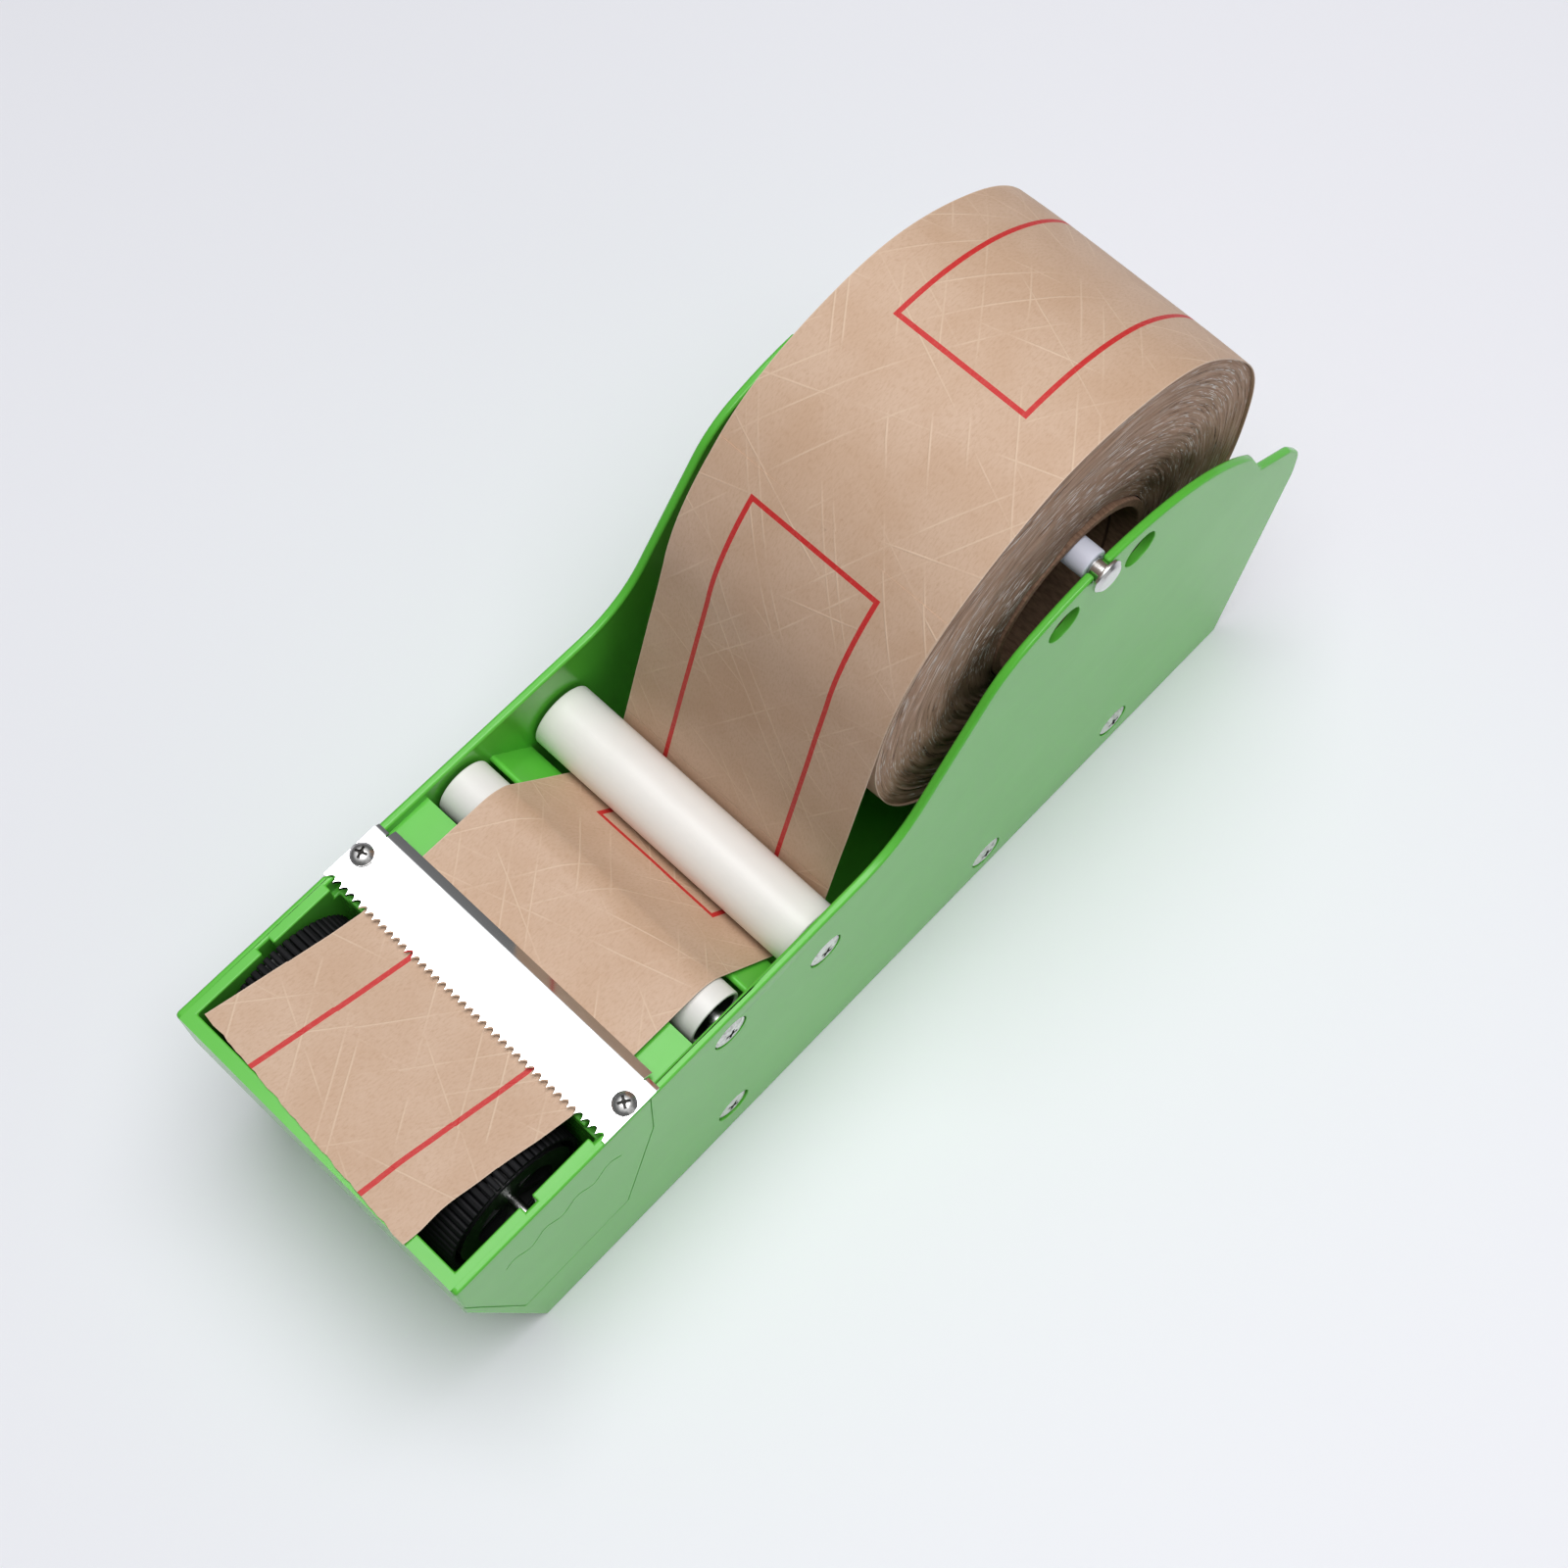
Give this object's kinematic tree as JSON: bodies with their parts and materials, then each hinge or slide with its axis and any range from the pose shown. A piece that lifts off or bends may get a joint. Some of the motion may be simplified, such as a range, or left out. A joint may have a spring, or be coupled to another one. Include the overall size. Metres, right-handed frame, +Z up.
{
  "type": "gummed tape dispenser",
  "caption": "Desktop water-activated tape dispenser: green body, wetting wheel in a tank, serrated cutter, guide rollers and a roll of reinforced kraft tape.",
  "frame": {"origin": "middle of the assembly's bounding box, on the surface that it stands on", "axes": "+Z up, -Y towards the front where the tape comes out, +X towards the right side panel seen in the picture"},
  "size_m": [0.1238, 0.3764, 0.2288],
  "materials": {
    "green": "moulded, slightly glossy bright green",
    "white": "smooth off-white tube",
    "black": "dull black, ribbed on the wheel",
    "rubber": "soft black feet",
    "steel": "bright nickel-plated steel",
    "mirror_steel": "polished stainless sheet",
    "kraft": "brown kraft paper over reinforcing threads",
    "wound_kraft": "edges of many wound layers",
    "card": "plain card tube"
  },
  "bodies": {
    "body": {"base_plate": "green", "blade_screw_left": "steel", "blade_screw_right": "steel", "cutter_blade": "mirror_steel", "foot_front_left": "rubber", "foot_front_right": "rubber", "foot_rear_left": "rubber", "foot_rear_right": "rubber", "front_axle": "steel", "front_tie": "steel", "guide_ramp": "green", "middle_tie": "steel", "rear_axle": "steel", "rear_tie": "steel", "screw_front_axle_left": "steel", "screw_front_axle_right": "steel", "screw_front_tie_left": "steel", "screw_front_tie_right": "steel", "screw_middle_tie_left": "steel", "screw_middle_tie_right": "steel", "screw_rear_axle_left": "steel", "screw_rear_axle_right": "steel", "screw_rear_tie_left": "steel", "screw_rear_tie_right": "steel", "side_panel_left": "green", "side_panel_right": "green", "tape_deck": "green", "tape_strip": "kraft", "water_tank": "green"},
    "front_roller": {"front_roller": "white", "front_roller_cap_left": "black", "front_roller_cap_right": "black"},
    "rear_roller": {"rear_roller": "white", "rear_roller_cap_left": "black", "rear_roller_cap_right": "black"},
    "wheel": {"wetting_wheel": "black", "wheel_shaft": "steel"},
    "spindle": {"spindle_shaft": "steel", "tape_lead": "kraft"},
    "sleeve": {"spindle_sleeve": "white"},
    "roll": {"tape_roll": "wound_kraft", "roll_core": "card"}
  },
  "joints": [
    {"name": "spindle_lift", "type": "slide", "parent": "body", "child": "spindle", "axis": [0, 0, 1], "range_m": [0, 0.1]},
    {"name": "roll_turn", "type": "hinge", "parent": "spindle", "child": "roll", "pos_m": [0, 0.0811, 0.1438], "axis": [1, 0, 0], "continuous": true},
    {"name": "sleeve_turn", "type": "hinge", "parent": "spindle", "child": "sleeve", "pos_m": [0, 0.0811, 0.169], "axis": [1, 0, 0], "continuous": true},
    {"name": "rear_roller_turn", "type": "hinge", "parent": "body", "child": "rear_roller", "pos_m": [0, -0.0359, 0.0797], "axis": [1, 0, 0], "continuous": true},
    {"name": "front_roller_turn", "type": "hinge", "parent": "body", "child": "front_roller", "pos_m": [0, -0.0769, 0.0932], "axis": [1, 0, 0], "continuous": true},
    {"name": "wheel_turn", "type": "hinge", "parent": "body", "child": "wheel", "pos_m": [0, -0.15503, 0.07957], "axis": [1, 0, 0], "continuous": true}
  ],
  "couplings": [
    {"joint": "rear_roller_turn", "follows": "roll_turn", "ratio": -7.265},
    {"joint": "front_roller_turn", "follows": "roll_turn", "ratio": 8.4158},
    {"joint": "wheel_turn", "follows": "roll_turn", "ratio": 3.2785},
    {"joint": "sleeve_turn", "follows": "roll_turn", "ratio": 5.9038}
  ]
}
